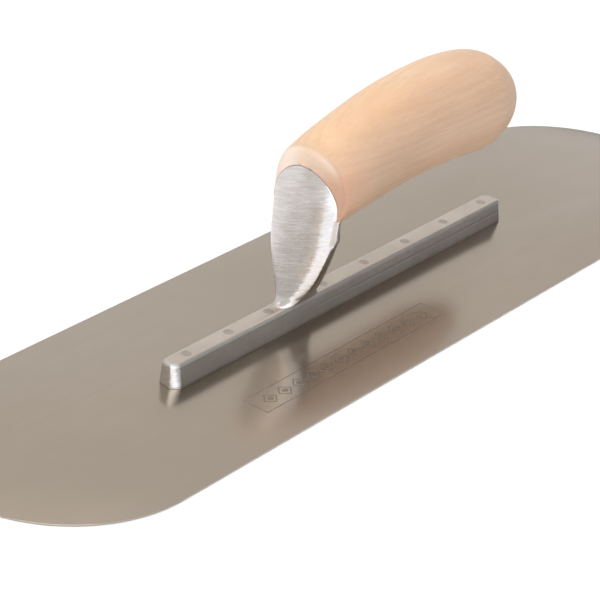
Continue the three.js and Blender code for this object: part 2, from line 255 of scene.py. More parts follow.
def shade_by_angle(obj, degrees):
    """Smooth shading, split where the surface turns by more than this."""
    mesh = obj.data
    for face in mesh.polygons:
        face.use_smooth = True
    edit = bmesh.new()
    edit.from_mesh(mesh)
    limit = math.radians(degrees)
    for edge in edit.edges:
        edge.smooth = not (len(edge.link_faces) == 2 and edge.calc_face_angle(0.0) > limit)
    edit.to_mesh(mesh)
    edit.free()


def finish_piece(obj, material, node):
    obj.data.transform(Matrix.Scale(MM, 4))
    obj.data.update()
    obj.data.materials.clear()
    obj.data.materials.append(material)
    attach(obj, "root")
    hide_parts(node)


# ------------------------------------------------------------------ node helpers


class Graph:
    """A short way to write the nodes of a material or world."""

    def __init__(self, owner):
        owner.use_nodes = True
        self.tree = owner.node_tree
        self.tree.nodes.clear()

    def put(self, socket, value):
        """Links a socket or sets a value, spread or padded to fit; None leaves the default."""
        if isinstance(value, bpy.types.NodeSocket):
            self.tree.links.new(value, socket)
        elif value is not None:
            if hasattr(socket.default_value, "__len__"):
                size = len(socket.default_value)
                if not hasattr(value, "__len__"):
                    value = (value,) * size
                elif len(value) == 3 and size == 4:
                    value = (*value, 1.0)
            socket.default_value = value

    def node(self, kind, inputs=None, **props):
        node = self.tree.nodes.new(kind)
        for key, value in props.items():
            setattr(node, key, value)
        for key, value in (inputs or {}).items():
            self.put(node.inputs[key], value)
        return node

    def math(self, operation, *values):
        return self.node("ShaderNodeMath", dict(enumerate(values)), operation=operation).outputs[0]

    def mul(self, first, *others):
        for other in others:
            first = self.math("MULTIPLY", first, other)
        return first

    def add(self, a, b):
        return self.math("ADD", a, b)

    def sub(self, a, b):
        return self.math("SUBTRACT", a, b)

    def mul_add(self, value, factor, offset):
        return self.math("MULTIPLY_ADD", value, factor, offset)

    def abs(self, value):
        return self.math("ABSOLUTE", value)

    def below(self, value, limit):
        return self.math("LESS_THAN", value, limit)

    def above(self, value, limit):
        return self.math("GREATER_THAN", value, limit)

    def larger(self, a, b):
        return self.math("MAXIMUM", a, b)

    def vmath(self, operation, *values):
        node = self.node("ShaderNodeVectorMath", dict(enumerate(values)), operation=operation)
        return node.outputs["Value" if operation == "DOT_PRODUCT" else 0]

    def scaled(self, vector, scale):
        return self.vmath("MULTIPLY", vector, scale)

    def vector(self, x=0.0, y=0.0, z=0.0):
        return self.node("ShaderNodeCombineXYZ", {0: x, 1: y, 2: z}).outputs[0]

    def axes(self, vector):
        return self.node("ShaderNodeSeparateXYZ", {0: vector}).outputs[:3]

    def ramp(self, value, span, to=(0.0, 1.0)):
        """Smooth step from to[0] at span[0] to to[1] at span[1]."""
        keys = ("Value", "From Min", "From Max", "To Min", "To Max")
        return self.node("ShaderNodeMapRange", dict(zip(keys, (value, *span, *to))),
                         interpolation_type="SMOOTHSTEP").outputs["Result"]

    def mix(self, share, a, b):
        """share of b over a, for colours and plain values."""
        return self.node("ShaderNodeMix", {0: share, 6: a, 7: b}, data_type="RGBA").outputs[2]


class MaterialGraph(Graph):
    """Adds what only surfaces need. Places are in metres, in the object's frame."""

    def __init__(self, name):
        self.material = bpy.data.materials.new(name)
        super().__init__(self.material)
        self.out = self.node("ShaderNodeOutputMaterial")

    def place(self):
        return self.node("ShaderNodeTexCoord").outputs["Object"]

    def true_normal(self):
        return self.node("ShaderNodeNewGeometry").outputs["Normal"]

    def mirrored(self):
        """1 where the surface is seen in a reflection."""
        return self.above(self.node("ShaderNodeLightPath").outputs["Glossy Depth"], 0.5)

    def noise(self, place, stretch=None, scale=1.0, detail=3.0, rough=0.55, distortion=0.0):
        """Noise; stretch is its frequency along each axis, per metre."""
        if stretch:
            place = self.scaled(place, stretch)
        inputs = {"Vector": place, "Scale": scale, "Detail": detail,
                  "Roughness": rough, "Distortion": distortion}
        return self.node("ShaderNodeTexNoise", inputs).outputs["Fac"]

    def bump(self, height, distance, strength, normal=None):
        inputs = {"Height": height, "Distance": distance, "Strength": strength, "Normal": normal}
        return self.node("ShaderNodeBump", inputs).outputs["Normal"]

    def lean(self, normal, **by):
        """Turns a normal by adding to its x, y or z."""
        return self.vmath("NORMALIZE", self.vmath("ADD", normal, self.vector(**by)))

    def principled(self, **inputs):
        named = {key.replace("_", " "): value for key, value in inputs.items()}
        return self.node("ShaderNodeBsdfPrincipled", named).outputs[0]

    def finish(self, shader):
        self.put(self.out.inputs["Surface"], shader)
        return self.material


# ------------------------------------------------------------------ materials


def etched_panel(mat, place, x, y, z):
    """A row of lozenges between two lines, on the blade's upper face (mm)."""
    centre_x, centre_y = -38.0, -30.0
    half_l, half_w, line = 52.0, 5.4, 0.25
    pitch, row_half_l = 8.0, 47.9
    u = mat.sub(mat.mul(x, 1000.0), centre_x)
    v = mat.sub(mat.mul(y, 1000.0), centre_y)
    along, across = mat.abs(u), mat.abs(v)
    rule = mat.mul(mat.below(along, half_l), mat.below(mat.abs(mat.sub(across, half_w)), line))
    ends = mat.mul(mat.below(mat.abs(mat.sub(along, half_l)), line),
                   mat.below(across, half_w + line))
    cell = mat.sub(mat.math("MODULO", mat.add(u, 50 * pitch), pitch), pitch / 2)
    # distance from a lozenge's centre: a solid core inside a thin outline
    reach = mat.add(mat.mul(mat.abs(cell), 0.95), across)
    core, outline, outline_half = 1.5, 2.9, 0.40
    lozenge = mat.mul(mat.below(along, row_half_l), mat.add(
        mat.below(reach, core), mat.below(mat.abs(mat.sub(reach, outline)), outline_half)))
    etch = mat.math("MINIMUM", mat.add(mat.add(rule, ends), lozenge), 1.0)
    wear = mat.ramp(mat.noise(place, scale=900.0, detail=2.0), (0.25, 0.6), to=(0.6, 1.0))
    return mat.mul(etch, mat.above(z, 0.0004), wear)


def blade_material():
    mat = MaterialGraph("spring_steel_rolled")
    warm, warm_light = (0.440, 0.372, 0.300), (0.462, 0.392, 0.322)
    speck_brown, etch_brown = (0.16, 0.13, 0.11), (0.18, 0.155, 0.135)
    place = mat.place()
    x, y, z = mat.axes(place)
    # rolling and polishing lines along the blade
    fine = mat.noise(place, stretch=(14, 2600, 60), detail=4.0, rough=0.6)
    lines = mat.noise(place, stretch=(4, 520, 20))
    cloud = mat.noise(place, stretch=(9, 14, 10), detail=2.0, rough=0.5)
    blotch = mat.noise(place, stretch=(60, 90, 80))
    # warm grey, a little uneven
    colour = mat.mix(mat.ramp(cloud, (0.35, 0.65)), warm, warm_light)
    colour = mat.mix(mat.ramp(blotch, (0.3, 0.7), to=(0.0, 0.22)), colour,
                     tuple(0.93 * v for v in warm))
    colour = mat.mix(mat.ramp(lines, (0.3, 0.8), to=(0.0, 0.16)), colour,
                     tuple(0.88 * v for v in warm))
    # small dark specks, in a few of the cells
    cells = mat.node("ShaderNodeTexVoronoi", {"Vector": place, "Scale": 46.0}, feature="F1")
    keep = mat.above(mat.axes(cells.outputs["Color"])[0], 0.87)
    speck = mat.mul(mat.ramp(cells.outputs["Distance"], (0.012, 0.030), to=(1.0, 0.0)), keep)
    colour = mat.mix(mat.mul(speck, 0.40), colour, speck_brown)
    # a few light scratches along bent cell borders
    wander = mat.node("ShaderNodeTexNoise", {"Vector": place, "Scale": 14.0}).outputs["Color"]
    bent = mat.vmath("ADD", place, mat.scaled(wander, (0.03, 0.03, 0.0)))
    borders = mat.node("ShaderNodeTexVoronoi",
                       {"Vector": mat.scaled(bent, (9, 34, 1)), "Scale": 1.0},
                       feature="DISTANCE_TO_EDGE").outputs["Distance"]
    scratch = mat.mul(mat.ramp(borders, (0.0, 0.008), to=(1.0, 0.0)),
                      mat.ramp(mat.noise(place, scale=30.0, detail=2.0), (0.60, 0.70)))
    etch = etched_panel(mat, place, x, y, z)
    colour = mat.mix(mat.mul(etch, 0.55), colour, etch_brown)
    rough = mat.add(mat.ramp(cloud, (0.3, 0.7), to=(0.178, 0.192)),
                    mat.ramp(fine, (0.2, 0.8), to=(-0.012, 0.016)))
    rough = mat.add(rough, mat.mul(etch, 0.14))
    rough = mat.add(rough, mat.mul(scratch, 0.08))
    height = mat.add(mat.mul(fine, 0.7), mat.mul(lines, 0.5))
    height = mat.sub(height, mat.mul(scratch, 0.6))
    # the riveted sheet is very slightly bowed across its width: only its shine shows it
    bowed = mat.lean(mat.true_normal(), y=mat.mul(y, -0.85))
    normal = mat.bump(height, distance=0.000006, strength=0.4, normal=bowed)
    # a sharp shine spread across the lines, and some haze
    sharp = mat.principled(Base_Color=colour, Metallic=1.0, Roughness=rough, Anisotropic=0.40,
                           Tangent=mat.vector(y=1.0), Normal=normal)
    haze = mat.principled(Base_Color=colour, Metallic=1.0, Roughness=0.46, Normal=normal)
    haze_share = 0.20
    both = mat.node("ShaderNodeMixShader", {0: haze_share, 1: sharp, 2: haze})
    return mat.finish(both.outputs[0])


def casting_material():
    mat = MaterialGraph("aluminium_cast_and_ground")
    cast, cast_light, cast_pit = (0.500, 0.468, 0.440), (0.560, 0.525, 0.495), (0.38, 0.352, 0.325)
    belt_dark, belt_light = (0.590, 0.550, 0.525), (0.690, 0.650, 0.625)
    # painted highlight colour for the near rim of the front
    near_highlight_grey = (0.620, 0.612, 0.618)
    top_dark, top_light, top_pit = (0.585, 0.512, 0.440), (0.645, 0.570, 0.500), (0.54, 0.475, 0.410)
    joint_brown, nose_grey, painted_foot_shade = (0.26, 0.235, 0.21), (0.46, 0.44, 0.42), (0.36, 0.33, 0.31)
    edge_shade_grey, side_pale = (0.36, 0.328, 0.298), (0.80, 0.755, 0.715)
    seat_warm = (0.640, 0.575, 0.520)
    place = mat.place()
    x, y, z = mat.axes(place)
    norm_x, norm_y, norm_z = mat.axes(mat.true_normal())
    # masks: the belt-ground front face, the top of the rib, and the ground nose
    face = mat.mul(mat.ramp(norm_x, (-0.42, -0.62)), mat.ramp(z, (0.0094, 0.0104)),
                   mat.ramp(x, (-0.0300, -0.0312)))
    top = mat.mul(mat.ramp(norm_z, (0.80, 0.95)),
                  mat.mul(mat.ramp(z, (0.0085, 0.0092)), mat.ramp(z, (0.0110, 0.0100))))
    nose = mat.mul(mat.ramp(x, (-0.0980, -0.0991)), mat.ramp(norm_x, (-0.06, -0.30)),
                   mat.ramp(z, (0.0092, 0.0082)))
    # the low near part of the fillet in front of the post
    lap = mat.mul(mat.ramp(norm_x, (-0.10, -0.30)),
                  mat.mul(mat.ramp(z, (0.0097, 0.0101)), mat.ramp(z, (0.0128, 0.0120))))
    lap = mat.mul(lap, mat.mul(mat.ramp(x, (-0.0300, -0.0312)), mat.ramp(y, (0.0005, -0.0010))))
    face = mat.larger(face, lap)
    bright = mat.larger(face, nose)
    # streaks of the belt lean across the face
    lean = mat.vector(x, mat.sub(y, mat.mul(z, 0.36)), mat.add(z, mat.mul(y, 0.36)))
    belt = mat.noise(lean, stretch=(60, 110, 2300), detail=5.0, rough=0.70)
    wide_belt = mat.noise(lean, stretch=(30, 60, 1000), rough=0.6)
    rub = mat.noise(place, stretch=(70, 900, 60), detail=4.0, rough=0.6)
    grain = mat.noise(place, scale=2300.0, rough=0.6)
    lump = mat.noise(place, scale=260.0, detail=4.0, rough=0.6)
    cloud = mat.noise(place, stretch=(50, 70, 70), rough=0.5)
    colour = mat.mix(mat.ramp(cloud, (0.3, 0.7)), cast, cast_light)
    colour = mat.mix(mat.ramp(lump, (0.45, 0.8), to=(0.0, 0.40)), colour, cast_pit)
    shiny = mat.mix(mat.ramp(wide_belt, (0.3, 0.7)), belt_dark, belt_light)
    # painted highlight: the near-turned rim of the front is drawn in a paler neutral grey, so its shine reads white
    shiny = mat.mix(mat.ramp(norm_y, (-0.30, -0.48)), shiny, near_highlight_grey)
    flat = mat.mix(mat.ramp(cloud, (0.3, 0.7)), top_dark, top_light)
    flat = mat.mix(mat.ramp(lump, (0.4, 0.8), to=(0.0, 0.5)), flat, top_pit)
    # the mould's joint line along the rear of the rib
    joint = mat.mul(mat.ramp(x, (-0.030, -0.010)),
                    mat.ramp(mat.abs(mat.sub(z, 0.00500)), (0.00030, 0.00005)))
    colour = mat.mix(mat.mul(joint, mat.ramp(cloud, (0.3, 0.7), to=(0.25, 0.6))), colour,
                     joint_brown)
    colour = mat.mix(top, colour, flat)
    colour = mat.mix(bright, colour, shiny)
    colour = mat.mix(mat.mul(nose, 0.55), colour, nose_grey)
    # painted shade: the lower part of the front face, above the fillet, is drawn darker
    low_face_shade = mat.mul(mat.ramp(z, (0.0118, 0.0130)), mat.ramp(z, (0.0250, 0.0140)))
    colour = mat.mix(mat.mul(face, mat.mul(low_face_shade, 0.40)), colour, painted_foot_shade)
    # the rounded long edge of the rib stays as cast, and its colour is darkened a little as painted shade that dims
    # its shine
    ease = mat.mul(mat.ramp(norm_z, (0.975, 0.86)),
                   mat.mul(mat.ramp(z, (0.0080, 0.0086)), mat.ramp(z, (0.0100, 0.0097))))
    ease = mat.mul(ease, mat.sub(1.0, face))
    colour = mat.mix(mat.mul(ease, 0.10), colour, edge_shade_grey)
    rough = mat.mix(top, mat.ramp(grain, (0.2, 0.8), to=(0.36, 0.46)),
                    mat.ramp(rub, (0.2, 0.8), to=(0.34, 0.44)))
    side = mat.mul(mat.ramp(mat.abs(norm_y), (0.55, 0.8)), mat.ramp(z, (0.012, 0.016)))
    colour = mat.mix(side, colour, side_pale)
    # painted reflection: the casting is drawn darker where the blade mirrors it, most on the sides and the near rim
    # of the front
    seen_in_blade = mat.mirrored()
    strip = mat.mul(face, mat.ramp(norm_y, (-0.22, -0.42)))
    dim_all, dim_side, dim_strip, dim_most = 0.08, 0.45, 0.48, 0.6
    dim = mat.mul_add(strip, dim_strip, mat.mul_add(side, dim_side, dim_all))
    dim = mat.sub(1.0, mat.mul(seen_in_blade, mat.math("MINIMUM", dim, dim_most)))
    colour = mat.scaled(colour, mat.vector(dim, dim, dim))
    rough = mat.mix(side, rough, mat.ramp(grain, (0.2, 0.8), to=(0.20, 0.26)))
    edge_rough = 0.62
    rough = mat.mix(mat.mul(ease, 0.9), rough, edge_rough)
    # the small eased facet beside the seat is duller than the face
    seat = mat.mul(side, mat.mul(mat.ramp(z, (0.0340, 0.0360)), mat.ramp(norm_x, (-0.08, -0.20))))
    seat = mat.mul(seat, mat.ramp(z, (0.0460, 0.0450)))
    seat_rough = 0.40
    rough = mat.mix(seat, rough, seat_rough)
    colour = mat.mix(mat.mul(seat, 0.8), colour, seat_warm)
    rough = mat.mix(bright, rough, mat.ramp(belt, (0.32, 0.68), to=(0.20, 0.42)))
    # bump: streaks where ground, grain where cast
    ground = mat.add(mat.mul(belt, 1.0), mat.mul(wide_belt, 0.7))
    pitted = mat.add(mat.mul(grain, 0.35), mat.mul(lump, 1.0))
    plain = mat.sub(1.0, mat.larger(bright, top))
    normal = mat.bump(ground, distance=0.00007, strength=mat.mul(bright, 0.9))
    normal = mat.bump(pitted, distance=0.00004, strength=mat.mul(plain, 0.8), normal=normal)
    normal = mat.bump(rub, distance=0.00002, strength=mat.mul(top, 0.5), normal=normal)
    # single scratches also turn the slope a little sideways
    scratch = mat.noise(lean, stretch=(60, 170, 1500), detail=4.0, rough=0.7)
    normal = mat.lean(normal, y=mat.mul(bright, mat.mul(mat.sub(scratch, 0.5), 0.58)))
    # the low near part of the fillet is ground a little steeper
    normal = mat.lean(normal, x=mat.mul(lap, -0.70))
    # slopes vary up and down across the streaks, so light spreads that way
    return mat.finish(mat.principled(
        Base_Color=colour, Metallic=1.0, Roughness=rough, Normal=normal,
        Tangent=mat.vector(y=0.34, z=0.94), Anisotropic=mat.mul(bright, 0.75)))


def rivet_material():
    mat = MaterialGraph("rivet_ground_steel")
    dark, light = (0.41, 0.350, 0.310), (0.50, 0.435, 0.390)
    place = mat.place()
    rub = mat.noise(place, stretch=(120, 1400, 60), detail=4.0, rough=0.6)
    cloud = mat.noise(place, scale=700.0)
    colour = mat.mix(mat.ramp(cloud, (0.3, 0.7)), dark, light)
    return mat.finish(mat.principled(
        Base_Color=colour, Metallic=1.0, Roughness=mat.ramp(rub, (0.2, 0.8), to=(0.34, 0.46)),
        Normal=mat.bump(rub, distance=0.00003, strength=0.5)))


def tang_material():
    mat = MaterialGraph("tang_drawn_steel")
    grey, stained = (0.34, 0.33, 0.32), (0.25, 0.22, 0.19)
    place = mat.place()
    lines = mat.noise(place, stretch=(30, 1500, 1500), detail=4.0, rough=0.6)
    stain = mat.noise(place, scale=160.0, rough=0.5)
    colour = mat.mix(mat.ramp(stain, (0.35, 0.7)), grey, stained)
    return mat.finish(mat.principled(
        Base_Color=colour, Metallic=1.0, Roughness=mat.ramp(lines, (0.2, 0.8), to=(0.38, 0.55)),
        Normal=mat.bump(lines, distance=0.00003, strength=0.5)))


# painted shade round the handle, standing for how the light falls: degrees from near (0) over the top (90), factor
WOOD_PAINTED_SHADE = [
    (-180, .80), (-130, .80), (-90, .82), (-50, .76), (-8, .63), (10, .61), (26, .655),
    (40, .71), (55, .78), (70, .87), (89, .91), (115, 1.0), (150, .95), (180, .80),
]


def growth_rings(mat, place):
    """The blank's growth layers: nearly flat sheets along X, gently bowed."""
    warp = mat.node("ShaderNodeTexNoise", {"Vector": mat.scaled(place, (6, 22, 22)),
                                           "Scale": 1.0, "Detail": 2.0}).outputs["Color"]
    shift = mat.scaled(mat.vmath("SUBTRACT", warp, (0.5, 0.5, 0.5)), (0.0, 0.012, 0.012))
    bent_y, bent_z = mat.axes(mat.vmath("ADD", place, shift))[1:]
    # offsets from the tree's centre, low on the near side of a point far above
    from_y = mat.add(mat.mul(bent_y, 1.0), 0.020)
    from_z = mat.sub(mat.mul(bent_z, 0.85), 0.125)
    radius = mat.math("SQRT", mat.add(mat.mul(from_y, from_y), mat.mul(from_z, from_z)))
    rings_per_metre = 2300.0
    wave = mat.math("SINE", mat.mul(radius, rings_per_metre))
    ring = mat.add(mat.mul(wave, 0.5), 0.5)
    return mat.mul(ring, ring)


def painted_wood_shade(mat, x, norm_x, norm_y, norm_z):
    """Painted shade: the sides are drawn darker than the top, as the light falls on them. Gives the shade and its
    lower value for blue.
    """
    tilt = mat.mul(mat.math("ARCTAN2", norm_z, mat.mul(norm_y, -1.0)), 180 / math.pi)
    shade_curve = mat.node("ShaderNodeFloatCurve", {"Factor": 1.0,
                                             "Value": mat.mul_add(tilt, 1 / 360, 0.5)})
    points = shade_curve.mapping.curves[0].points
    points[0].location = (0.0, WOOD_PAINTED_SHADE[0][1])
    points[1].location = (1.0, WOOD_PAINTED_SHADE[-1][1])
    for degrees, value in WOOD_PAINTED_SHADE[1:-1]:
        points.new((degrees + 180) / 360, value)
    shade_curve.mapping.update()
    shade = mat.mul(shade_curve.outputs[0], 1.11)
    # painted shade: a little darker low on the near side, towards the front
    under = mat.mul(mat.ramp(tilt, (28, 8)), mat.ramp(x, (0.030, 0.005)))
    shade = mat.mul(shade, mat.mul_add(under, -0.09, 1.0))
    # less painted shade at the front end
    shade = mat.add(shade, mat.mul(mat.ramp(x, (-0.004, -0.030), to=(0.0, 0.32)),
                                   mat.sub(1.0, shade)))
    # painted shade: darker where the front ridge turns forward, which dims its shine
    ridge = mat.mul(mat.ramp(norm_x, (-0.22, -0.50)), mat.ramp(x, (-0.024, -0.030)))
    shade = mat.mul(shade, mat.mul_add(ridge, -0.19, 1.0))
    # painted light: the upper side, towards the front, is drawn a little more yellow
    yellow = mat.mul(mat.ramp(tilt, (30, 70)),
                     mat.mul(mat.ramp(tilt, (118, 100), to=(0.2, 1.0)),
                             mat.ramp(x, (0.030, 0.005))))
    return shade, mat.mul(shade, mat.mul_add(yellow, -0.085, 1.0))


def wood_material():
    mat = MaterialGraph("pale_wood_sanded")
    straw, tan, patch_tan = (0.735, 0.520, 0.325), (0.675, 0.430, 0.285), (0.668, 0.395, 0.250)
    ring_tan, fibre_tan, pore_brown = (0.640, 0.390, 0.240), (0.600, 0.380, 0.250), (0.420, 0.250, 0.160)
    flush_red, painted_reflection_grey = (0.640, 0.345, 0.215), (0.560, 0.480, 0.420)
    end_light, end_dark, end_far = (0.590, 0.445, 0.335), (0.530, 0.385, 0.285), (0.790, 0.660, 0.560)
    place = mat.place()
    x, y, z = mat.axes(place)
    ring = growth_rings(mat, place)
    fibre = mat.noise(place, stretch=(26, 1500, 1500), detail=4.0, rough=0.65)
    pore = mat.noise(place, stretch=(110, 3200, 3200), rough=0.6)
    patch = mat.noise(place, stretch=(16, 60, 60), rough=0.5)
    broad = mat.noise(place, stretch=(9, 30, 30), detail=2.0, rough=0.5, distortion=0.6)
    colour = mat.mix(mat.ramp(broad, (0.32, 0.68)), straw, tan)
    colour = mat.mix(mat.ramp(patch, (0.42, 0.72), to=(0.0, 0.7)), colour, patch_tan)
    colour = mat.mix(mat.mul(ring, 0.40), colour, ring_tan)
    colour = mat.mix(mat.ramp(fibre, (0.40, 0.72), to=(0.0, 0.60)), colour, fibre_tan)
    colour = mat.mix(mat.ramp(pore, (0.55, 0.80), to=(0.0, 0.42)), colour, pore_brown)
    # a warmer flush low on the front shoulder
    flush = mat.mul(mat.ramp(x, (-0.010, -0.030)), mat.ramp(z, (0.066, 0.058)))
    colour = mat.mix(mat.mul(flush, 0.80), colour, flush_red)
    norm_x, norm_y, norm_z = mat.axes(mat.true_normal())
    # painted shade: the colour is darkened by surface direction, standing for the studio light
    shade, blue = painted_wood_shade(mat, x, norm_x, norm_y, norm_z)
    colour = mat.scaled(colour, mat.vector(shade, shade, blue))
    # the paler, freshly ground front
    front = mat.mul(mat.ramp(norm_x, (-0.20, -0.90)), mat.ramp(x, (-0.026, -0.030)),
                    mat.ramp(mat.add(z, mat.mul(y, 0.55)), (0.050, 0.064)))
    end_grain = mat.noise(place, stretch=(1200, 1200, 1200), rough=0.6)
    pale = mat.mix(mat.ramp(end_grain, (0.3, 0.75)), end_light, end_dark)
    pale = mat.mix(mat.ramp(y, (-0.002, 0.010)), pale, end_far)
    colour = mat.mix(mat.mul(front, 0.75), colour, pale)
    # painted reflection: the wood is drawn greyer where the blade mirrors it
    colour = mat.mix(mat.mul(mat.mirrored(), 0.55), colour, painted_reflection_grey)
    rough = mat.ramp(fibre, (0.2, 0.8), to=(0.46, 0.58))
    height = mat.add(mat.mul(fibre, 0.8), mat.mul(pore, 0.6))
    return mat.finish(mat.principled(
        Base_Color=colour, Metallic=0.0, Roughness=rough,
        Normal=mat.bump(height, distance=0.00006, strength=0.45),
        Coat_Weight=0.12, Coat_Roughness=0.35, Specular_IOR_Level=0.45))


# ------------------------------------------------------------------ blade


def build_blade():
    radius, half = BLADE_W / 2, BLADE_L / 2 - BLADE_W / 2

    def outline(inset, z):
        points = []
        for start, centre in ((-math.pi / 2, half), (math.pi / 2, -half)):
            for k in range(97):
                turn = start + math.pi * k / 96
                points.append((centre + (radius - inset) * math.cos(turn),
                               (radius - inset) * math.sin(turn), z))
        return points

    edge = BLADE_EDGE
    levels = [(edge, 0.0), (edge * 0.3, edge * 0.3), (0.0, edge), (0.0, BLADE_T - edge),
              (edge * 0.3, BLADE_T - edge * 0.3), (edge, BLADE_T)]
    obj = loft("blade_sheet", [outline(inset, z) for inset, z in levels])
    # countersunk holes; the cutter's cone runs on past both faces
    slope = (SINK_R - RIVET_R) / BLADE_T
    under, over = 0.5, 0.3
    cone = [(-under, SINK_R + SINK_GAP + under * slope),
            (BLADE_T + over, RIVET_R + SINK_GAP - over * slope)]
    for x in RIVET_X:
        boolean(obj, round_solid("cut", "z", (x, 0), cone))
    tidy(obj)
    shade_by_angle(obj, 40)
    return obj


# ------------------------------------------------------------------ mounting


def rib_outline():
    """Plan of the rib's base, anticlockwise: x, y and outward normal. Corner radii differ."""
    half = RIB_HALF_W
    rear_near, rear_far, front_far = 1.1, 3.8, 4.6
    points = []

    def arc(x, y, radius, start, count=14):
        for k in range(count + 1):
            turn = start + math.pi / 2 * k / count
            c, s = math.cos(turn), math.sin(turn)
            points.append((x + radius * c, y + radius * s, c, s))

    def line(start, end, count, normal):
        for k in range(1, count):
            t = k / count
            points.append((start[0] + (end[0] - start[0]) * t,
                           start[1] + (end[1] - start[1]) * t, *normal))

    # the near corner of the nose is ground nearly flat: its radius grows in mid turn
    turn = np.radians(np.linspace(180, 270, 37))
    middle = (turn[1:] + turn[:-1]) / 2
    flat = (middle > math.radians(204)) & (middle < math.radians(234))
    step = np.where(flat, 6.7, 1.8) * (turn[1] - turn[0])
    corner_x = np.concatenate([[0], np.cumsum(-np.sin(middle) * step)])
    corner_y = np.concatenate([[0], np.cumsum(np.cos(middle) * step)])
    front_near = float(-corner_y[-1])

    arc(RIB_REAR - rear_far, half - rear_far, rear_far, 0)
    line((RIB_REAR - rear_far, half), (RIB_FRONT + front_far, half), 130, (0, 1))
    arc(RIB_FRONT + front_far, half - front_far, front_far, math.pi / 2)
    line((RIB_FRONT, half - front_far), (RIB_FRONT, -half + front_near), 44, (-1, 0))
    for a, x, y in zip(turn, corner_x, corner_y):
        points.append((RIB_FRONT + float(x), -half + front_near + float(y),
                       math.cos(a), math.sin(a)))
    line((RIB_FRONT + float(corner_x[-1]), -half), (RIB_REAR - rear_near, -half), 130, (0, -1))
    arc(RIB_REAR - rear_near, -half + rear_near, rear_near, 1.5 * math.pi, 10)
    line((RIB_REAR, -half + rear_near), (RIB_REAR, half - rear_far), 8, (1, 0))
    return np.array(points)


def rib_body():
    """Drafted bar; its long top edges are well rounded ahead of the post and crisper behind it."""
    x, y, norm_x, norm_y = rib_outline().T
    from_front, from_rear = x - RIB_FRONT, RIB_REAR - x
    edge = RIB_EDGE_REAR + (RIB_EDGE_FRONT - RIB_EDGE_REAR) * (1 - smoothstep(-46, -12, x))
    behind = smoothstep(-44, -14, x)
    rings = []

    def ring(z, inset, rise, groove=0.0):
        """rise: share of the height, 0 at the base and 1 at the top, that sets the draft."""
        ring_y = y * (RIB_HALF_W - RIB_DRAFT * rise) / RIB_HALF_W
        far = smoothstep(-0.6, 3.2, y) * (1 - smoothstep(0, 10, from_front))
        # the far front corner swells upwards
        fat = 2 * np.abs(norm_x * norm_y) * (norm_x < 0) * (norm_y > 0) * rise
        ring_y = ring_y + 0.50 * fat
        skew = 0.07 * (y + 2.5) * (1 - smoothstep(0, 8, from_front))
        ring_x = x - 0.50 * fat + ((0.40 * rise + 0.10 * rise * far + skew)
                                   * (1 - smoothstep(0, 12, from_front)))
        ring_x = ring_x + (0.6 - 0.10 * rise) * (1 - smoothstep(0, 12, from_rear))
        # the mould's joint: a fine step up the nose
        joint = -0.35 + 1.6 * rise
        ring_x = ring_x + (0.16 * smoothstep(joint - 0.12, joint + 0.12, y)
                           * (1 - smoothstep(0, 1.6, from_front)))
        inset = inset + groove * behind * np.abs(norm_y)
        level = np.broadcast_to(z, x.shape)
        rings.append(list(zip(ring_x - norm_x * inset, ring_y - norm_y * inset, level)))

    def rise_at(z):
        return (z - BLADE_T) / (RIB_TOP - BLADE_T)

    # eased base: z, inset, rise
    for z, inset, rise in ((BLADE_T, 0.22, 0.0), (0.66, 0.08, 0.0), (0.8, 0.0, 0.02)):
        ring(z, inset, rise)
    # sides, with a fine groove behind the post: z, groove depth
    for z, groove in ((1.8, 0), (3.0, 0), (4.2, 0), (4.7, 0), (4.84, 0.02), (4.98, 0.06),
                      (5.12, 0.02), (5.26, 0), (5.8, 0), (6.4, 0), (7.2, 0)):
        ring(z, 0.0, rise_at(z), groove)
    edge_z = RIB_TOP - edge
    ring(edge_z, 0.0, rise_at(edge_z))
    for a in np.linspace(0, math.pi / 2, 10)[1:]:
        ring(edge_z + edge * math.sin(a), edge * (1 - math.cos(a)), rise_at(edge_z))
    return loft("rib", rings)


def crown(z):
    return float(np.interp(z, CROWN[:, 0], CROWN[:, 1]))


def post_row(z):
    return tuple(float(monotone_cubic(POST[:, 0], POST[:, k], z)) for k in (1, 2, 3, 4))


def post_ring(z, row, back=None, gap=0.0, ahead=0.0):
    """One level of the post: the crowned front, its eased corner, then the back.

    The corner is crisp low down, eased wide where the side meets the handle, and narrow round
    the top of the plate. With a gap, the ring is a cutter's and has no eased corner.
    """
    front_x, rim_x, back_x, half = row
    back_x = back_x if back is None else back
    grown = half + gap
    wide = float(smoothstep(34.7, 35.6, z) * (1 - smoothstep(50, 56, z)))
    deep = float(smoothstep(34.7, 35.6, z) * (1 - smoothstep(43.6, 45.0, z)))
    rounder = float(smoothstep(35, 42, z))
    ease_y, ease_x = 0.0, 0.0
    if gap == 0:
        ease_y = min(0.16 + 0.38 * wide, half * 0.09)
        ease_x = 0.14 + 0.20 * wide + 1.3 * deep
    ring = []
    front_steps, back_steps = 56, 40
    crowding = 0.92         # draws the front's points towards its rims
    for i in range(front_steps + 1):
        turn = math.pi / 2 * (-1 + 2 * i / front_steps) * crowding
        y = (grown - ease_y) * (math.sin(turn) / math.sin(math.pi / 2 * crowding))
        bulge = (abs(y) / max(half, 1e-6)) ** crown(z)
        ring.append((front_x + (rim_x - front_x) * bulge - ahead, y, z))
    start_x = rim_x + ease_x
    for i in range(back_steps + 1):
        turn = math.pi * i / back_steps
        c, s = math.cos(turn), math.sin(turn)
        y = grown * math.copysign(abs(c) ** (0.52 + 0.48 * rounder), c)
        ring.append((start_x + (back_x + gap - start_x) * abs(s) ** (0.42 + 0.55 * rounder), y, z))
    return ring


